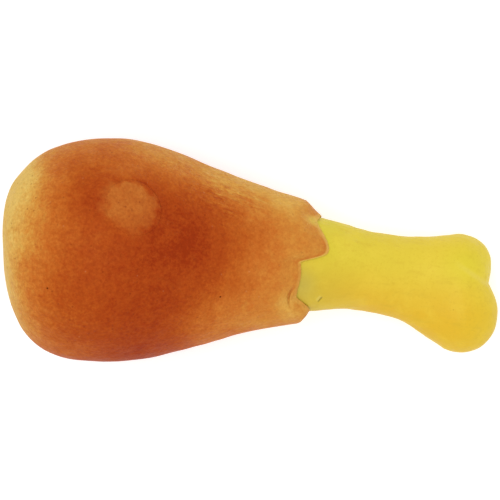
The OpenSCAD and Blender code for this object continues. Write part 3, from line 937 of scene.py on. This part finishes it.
def make_meat_skin():
    columns = 360
    a = ring_angles(columns)[None, :]
    outer, depth_rows = meat_outer_rows(a)
    outer, off_plug = onto_dome(outer)
    keep = floor_mask(outer) * off_plug * step(0.2, 4, depth_rows)
    relief = meat_relief(outer, a) * keep + cuff_fold(outer, depth_rows)
    outer = outer + grid_normals(outer) * relief[..., None]
    outer[..., 2] = np.maximum(outer[..., 2], 0)
    bulge = np.array([0.15, 0.5, 0.85])[:, None]
    lip = bone_point(edge_x(a) + 0.3 * np.sin(math.pi * bulge), a,
                     -(SOFT_GAP + CUFF_LIP * (1 - bulge)))
    obj = round_mesh("latex_meat_skin", np.concatenate([outer, lip, meat_inner_rows(a)]),
                     tip(), tip(SKIN_WALL))
    cutters = [(PLUG_O, PLUG_AXES, PLUG_HOLE_R, -7, 3, 200)]
    for spot in VENT_SPOTS:
        cutters.append((*frame_at(spot), VENT_R, -SKIN_WALL - 1.5, 2, 24))
    cut(obj, cutters)
    place = finish_mesh(obj)

    # Depth behind the cuff's edge, and where the lip under the flap is bare, both taken from the
    # nearest point of the rows above.
    under_flap = step(75, 79, a) * (1 - step(88, 92, a))
    bare_rows = under_flap * (1 - step(0.25, 0.6, depth_rows))
    source = np.concatenate([outer.reshape(-1, 3), lip.reshape(-1, 3)])
    depth_of = np.concatenate([depth_rows.ravel(), np.zeros(lip.shape[0] * columns)])
    bare_lip = np.broadcast_to(under_flap, lip.shape[:2])
    bare_of = np.concatenate([bare_rows.ravel(), bare_lip.ravel()])
    tree = KDTree(len(source))
    for i, p in enumerate(source):
        tree.insert(p, i)
    tree.balance()
    depth = np.full(len(place), FAR_DEPTH)
    bare = np.zeros(len(place))
    for i in np.where(place[:, 0] > CUFF_FROM_X)[0]:
        _, index, distance = tree.find(place[i])
        if distance < ROW_REACH:
            depth[i], bare[i] = depth_of[index], bare_of[index]
    add_value(obj, "depth", depth)
    add_value(obj, "bare", bare)
    return obj


def make_bone_skin():
    a = ring_angles(240)[None, :]
    xs = np.linspace(BONE_ROOT, KNUCKLE_CENTRE[0], 108)[:, None]
    tilts = np.linspace(90, 0, 61)[1:-1, None]
    outer = np.concatenate([bone_point(xs, a), knuckle_point(tilts, a)])
    xs = np.linspace(KNUCKLE_CENTRE[0], BONE_ROOT, 25)[:, None]
    tilts = np.linspace(0, 90, 13)[1:-1, None]
    inner = np.concatenate([knuckle_point(tilts, a, SKIN_WALL), bone_point(xs, a, SKIN_WALL)])

    relief = 0.28 * waves(outer, 21, 34, 16, 9) + 0.07 * waves(outer, 23, 10, 4, 14)
    relief += 0.05 * waves(outer, 24, 8, 3, 10, (0.2, 1, 1))
    relief += swells(outer, BONE_SWELLS)
    keep = floor_mask(outer) * step(24, 31, outer[..., 0])
    # The nick lies in a small dent.
    dent = np.exp(-(((outer - np.array(NICK)) / np.array([1.3, 1.5, 6])) ** 2).sum(-1))
    outer = outer + grid_normals(outer) * (relief * keep - 0.25 * dent)[..., None]
    outer[..., 2] = np.maximum(outer[..., 2], 0)
    obj = round_mesh("latex_bone_skin", np.concatenate([inner, outer]),
                     knuckle_point(0.0, 0.0, SKIN_WALL), knuckle_point(0.0, 0.0))
    finish_mesh(obj)
    return obj


def make_plug():
    a = np.radians(ring_angles(160))
    toward = PLUG_AXES.T @ SHARP_SIDE
    lean = np.cos(a) * toward[0] + np.sin(a) * toward[1]
    fillet = 0.06 + 0.08 * step(0.3, 1.0, lean)
    face_r = PLUG_R - fillet
    profile = [(share * face_r, plug_dome(share * face_r)) for share in np.linspace(0, 1, 41)[1:]]
    for turn in (22.5, 45, 67.5, 90):
        r = face_r + fillet * sind(turn)
        profile.append((r, plug_dome(r) - fillet * (1 - cosd(turn))))
    profile += [(PLUG_R, h) for h in (-2.5, -4.0, -4.9)]
    profile += [(r, PLUG_BOTTOM) for r in (PLUG_R - 0.3, 8.0, 4.0)]
    obj = round_mesh("latex_fill_plug", turned(profile, a), plug_world([0, 0, 0]),
                     plug_world([0, 0, PLUG_BOTTOM]))
    finish_mesh(obj, 60)
    add_value(obj, "depth", np.full(len(obj.data.vertices), FAR_DEPTH))
    add_value(obj, "bare", np.zeros(len(obj.data.vertices)))
    return obj


def end_rows(centre, rim, shares=(0.4, 0.7, 0.93)):
    """Rows that close a stuffing's end, at shares of the way from its centre to its rim."""
    return np.array([centre + (rim - centre) * s for s in shares])


def make_stuffing():
    a = ring_angles(160)[None, :]
    inwards = (0.93, 0.7, 0.4)
    inset = SKIN_WALL + FILL_GAP
    body = np.concatenate([
        meat_point(blunt_xs(40, inset)[:, None], a, inset),
        meat_point(np.linspace(BELLY_X, MEAT_FILL_END - 1.2, 44)[1:, None], a, inset)])
    end = on_line(MEAT_LINE, MEAT_FILL_END)
    face = end_rows(end, body[-1] + np.array([1.2, 0, 0]), inwards)
    meat = round_mesh("fibre_meat_stuffing", np.concatenate([lumpy(body, 31, 1.6), face]),
                      tip(inset), end)
    cut(meat, [(PLUG_O, PLUG_AXES, POCKET_R, -POCKET_DEPTH, 6, 96)])

    start = MEAT_FILL_END + FILL_GAP
    wide = throat_point(np.linspace(start, BONE_ROOT - 0.9, 20)[:, None] + 0 * a, a, FILL_GAP)
    slim = bone_point(np.linspace(BONE_ROOT - 0.3, NECK_FILL_END, 16)[:, None], a, inset)
    front, back = on_line(MEAT_LINE, start), on_line(BONE_LINE, NECK_FILL_END)
    sides = lumpy(np.concatenate([wide, slim]), 41, 0.9)
    rows = [end_rows(front, wide[0]), sides, end_rows(back, slim[-1], inwards)]
    neck = round_mesh("fibre_neck_stuffing", np.concatenate(rows), front, back)

    inset += SOFT_GAP
    start = NECK_FILL_END + 2 * SOFT_GAP
    shaft = bone_point(np.linspace(start, KNUCKLE_CENTRE[0], 50)[:, None], a, inset)
    knob = knuckle_point(np.linspace(90, 0, 25)[1:-1, None], a, inset)
    root = on_line(BONE_LINE, start)
    rows = [end_rows(root, shaft[0]), lumpy(np.concatenate([shaft, knob]), 51, 1.2)]
    bone = round_mesh("fibre_bone_stuffing", np.concatenate(rows), root,
                      knuckle_point(0.0, 0.0, inset))
    for obj in (meat, neck, bone):
        finish_mesh(obj)
    return meat, neck, bone


def make_bellows():
    columns, outer_r, fold, wall = 128, 9.3, 2.0, 0.7
    t = np.linspace(0, 1, 20 * BELLOWS_FOLDS + 1)
    height = BASE_TOP + t * (BELLOWS_TOP - BASE_TOP)
    phase = t * BELLOWS_FOLDS * 2 * math.pi
    swell = 0.5 - 0.5 * np.cos(phase)
    swell = swell + 0.1 * np.sin(phase) ** 2 * np.sign(swell - 0.5)
    r = outer_r - fold * (1 - np.clip(swell, 0, 1))
    profile = list(zip(r, height)) + list(zip(r[::-1] - wall, height[::-1]))
    rows = turned(profile, np.radians(ring_angles(columns)))
    obj = surface("squeaker_bellows_folds", rows.reshape(-1, 3),
                  quads(len(profile), columns, closed=True))
    finish_mesh(obj, 55)
    return obj


def make_tongue():
    """A thin strip, clamped at its low end, with rounded corners at its free end."""
    half_width, half_thick, corner = 1.9, 0.125, 0.8
    start = TONGUE_HIGH - corner
    heights = np.concatenate([np.linspace(TONGUE_LOW, start, 30),
                              start + corner * sind(np.linspace(0, 90, 9)[1:])])
    verts = []
    for h in heights:
        over = max(h - start, 0)
        w = half_width - corner * (1 - math.sqrt(max(1 - (over / corner) ** 2, 0)))
        verts += [(-half_thick, -w, h), (half_thick, -w, h), (half_thick, w, h),
                  (-half_thick, w, h)]
    ends = [[3, 2, 1, 0], [len(verts) + i for i in (-4, -3, -2, -1)]]
    obj = surface("reed_tongue_strip", plug_world(verts), quads(len(heights), 4) + ends)
    finish_mesh(obj, 35)
    return obj


def dress(obj, material):
    obj.data.materials.clear()
    obj.data.materials.append(material)


meat_skin = make_meat_skin()
bone_skin = make_bone_skin()
plug = make_plug()
meat_fill, neck_fill, bone_fill = make_stuffing()
bellows = make_bellows()
tongue = make_tongue()

painted = meat_material("painted_latex")
fibre = fibre_material("polyester_fibre")
pale = plastic_material("bellows_plastic", "EFE9D6", 0.42, own=True, Subsurface_Weight=0.15)
film = plastic_material("reed_film", "E8A04A", 0.30, 0.3, own=True)
for obj, node, slot, material in (
        (meat_skin, "meat_skin", "meat_latex", painted),
        (bone_skin, "bone_skin", "bone_latex", bone_material("yellow_latex")),
        (plug, "fill_plug", "plug_latex", painted),
        (meat_fill, "meat_stuffing", "fibre_fill", fibre),
        (neck_fill, "neck_stuffing", "fibre_fill", fibre),
        (bone_fill, "bone_stuffing", "fibre_fill", fibre),
        (bellows, "squeaker_bellows", "bellows_plastic", pale),
        (tongue, "reed_tongue", "reed_film", film)):
    dress(obj, material)
    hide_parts(node)
for name, code, rough in (
        ("squeaker_cap", "F1EFE6", 0.38), ("squeaker_base", "ECE9DE", 0.40),
        ("reed_tube", "DADDE0", 0.34), ("reed_block", "F3F2EE", 0.36),
        ("reed_wedge", "C9CDD2", 0.36)):
    material = plastic_material(name + "_plastic", code, rough)
    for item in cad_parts[name].material_slots:
        item.material = material

# Each piece's placement goes into its mesh; the bellows hang on the meat's body with a mesh of
# their own.
for obj in (meat_skin, meat_fill, neck_fill):
    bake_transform(obj)
for obj in (bone_skin, bone_fill):
    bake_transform(obj)
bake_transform(plug)
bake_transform(tongue)
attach(bellows, "meat")
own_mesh(bellows)


# ---- stage, light and camera
# The floor and the lamp are in metres.

FLOOR_HALF = 3.0
FLOOR_GLOW = 0.5
SKY_STRENGTH = 0.72
KEY_PLACE = (-0.1, -0.04, 1.35)
KEY_TARGET = (0, 0, 0.03)
KEY_SIZE = (0.8, 0.7)
KEY_WATTS = 7.5

# The camera looks straight down. VIEW_WIDTH is what it sees across at the height VIEW_PLANE.
SENSOR = 36
CAMERA_ROLL = math.radians(6.5)
VIEW_CENTRE = (-1.7, 6.2)
VIEW_WIDTH = 189.4
VIEW_PLANE = 36.0
CAMERA_HEIGHT = 2500.0


def make_floor():
    bm = bmesh.new()
    bmesh.ops.create_grid(bm, x_segments=8, y_segments=8, size=FLOOR_HALF)
    mesh = bpy.data.meshes.new("floor")
    bm.to_mesh(mesh)
    bm.free()
    obj = add_object("floor", mesh)
    s = Shade("pale_floor", Roughness=0.9, Specular_IOR_Level=0.1)
    cloud = s.texture("Noise", s.node("ShaderNodeTexCoord").outputs["Object"], Scale=3)["Fac"]
    s.bsdf.inputs["Emission Color"].default_value = (1, 1, 1, 1)
    s.bsdf.inputs["Emission Strength"].default_value = FLOOR_GLOW
    dress(obj, s.use(Base_Color=s.mix(cloud, linear("DCDCDC"), linear("E2E2E2"))))


def make_world():
    """Soft white light from all round. The camera sees plain white behind the floor."""
    world = bpy.data.worlds.new("studio")
    world.use_nodes = True
    nodes, links = world.node_tree.nodes, world.node_tree.links
    sky = nodes["Background"]
    sky.inputs["Color"].default_value = (1, 1, 1, 1)
    sky.inputs["Strength"].default_value = SKY_STRENGTH
    white = nodes.new("ShaderNodeBackground")
    white.inputs["Color"].default_value = (1, 1, 1, 1)
    choose = nodes.new("ShaderNodeMixShader")
    links.new(nodes.new("ShaderNodeLightPath").outputs["Is Camera Ray"], choose.inputs[0])
    links.new(sky.outputs[0], choose.inputs[1])
    links.new(white.outputs[0], choose.inputs[2])
    links.new(choose.outputs[0], nodes["World Output"].inputs["Surface"])
    return world


def make_key():
    data = bpy.data.lights.new("key", "AREA")
    data.shape = "RECTANGLE"
    data.size, data.size_y = KEY_SIZE
    data.energy = KEY_WATTS
    obj = add_object("key", data)
    obj.location = KEY_PLACE
    aim = Vector(KEY_TARGET) - Vector(KEY_PLACE)
    obj.rotation_euler = aim.to_track_quat("-Z", "Y").to_euler()


def make_camera():
    data = bpy.data.cameras.new("camera")
    data.sensor_width = SENSOR
    data.lens = SENSOR / VIEW_WIDTH * (CAMERA_HEIGHT - VIEW_PLANE)
    data.clip_start, data.clip_end = 0.05, 20
    obj = add_object("camera", data)
    obj.location = metres((VIEW_CENTRE[0], VIEW_CENTRE[1], CAMERA_HEIGHT))
    obj.rotation_euler = (0, 0, CAMERA_ROLL)
    return obj


make_floor()
make_key()
scene = bpy.context.scene
scene.view_settings.view_transform = "Standard"
scene.view_settings.look = "None"
scene.world = make_world()
scene.camera = make_camera()
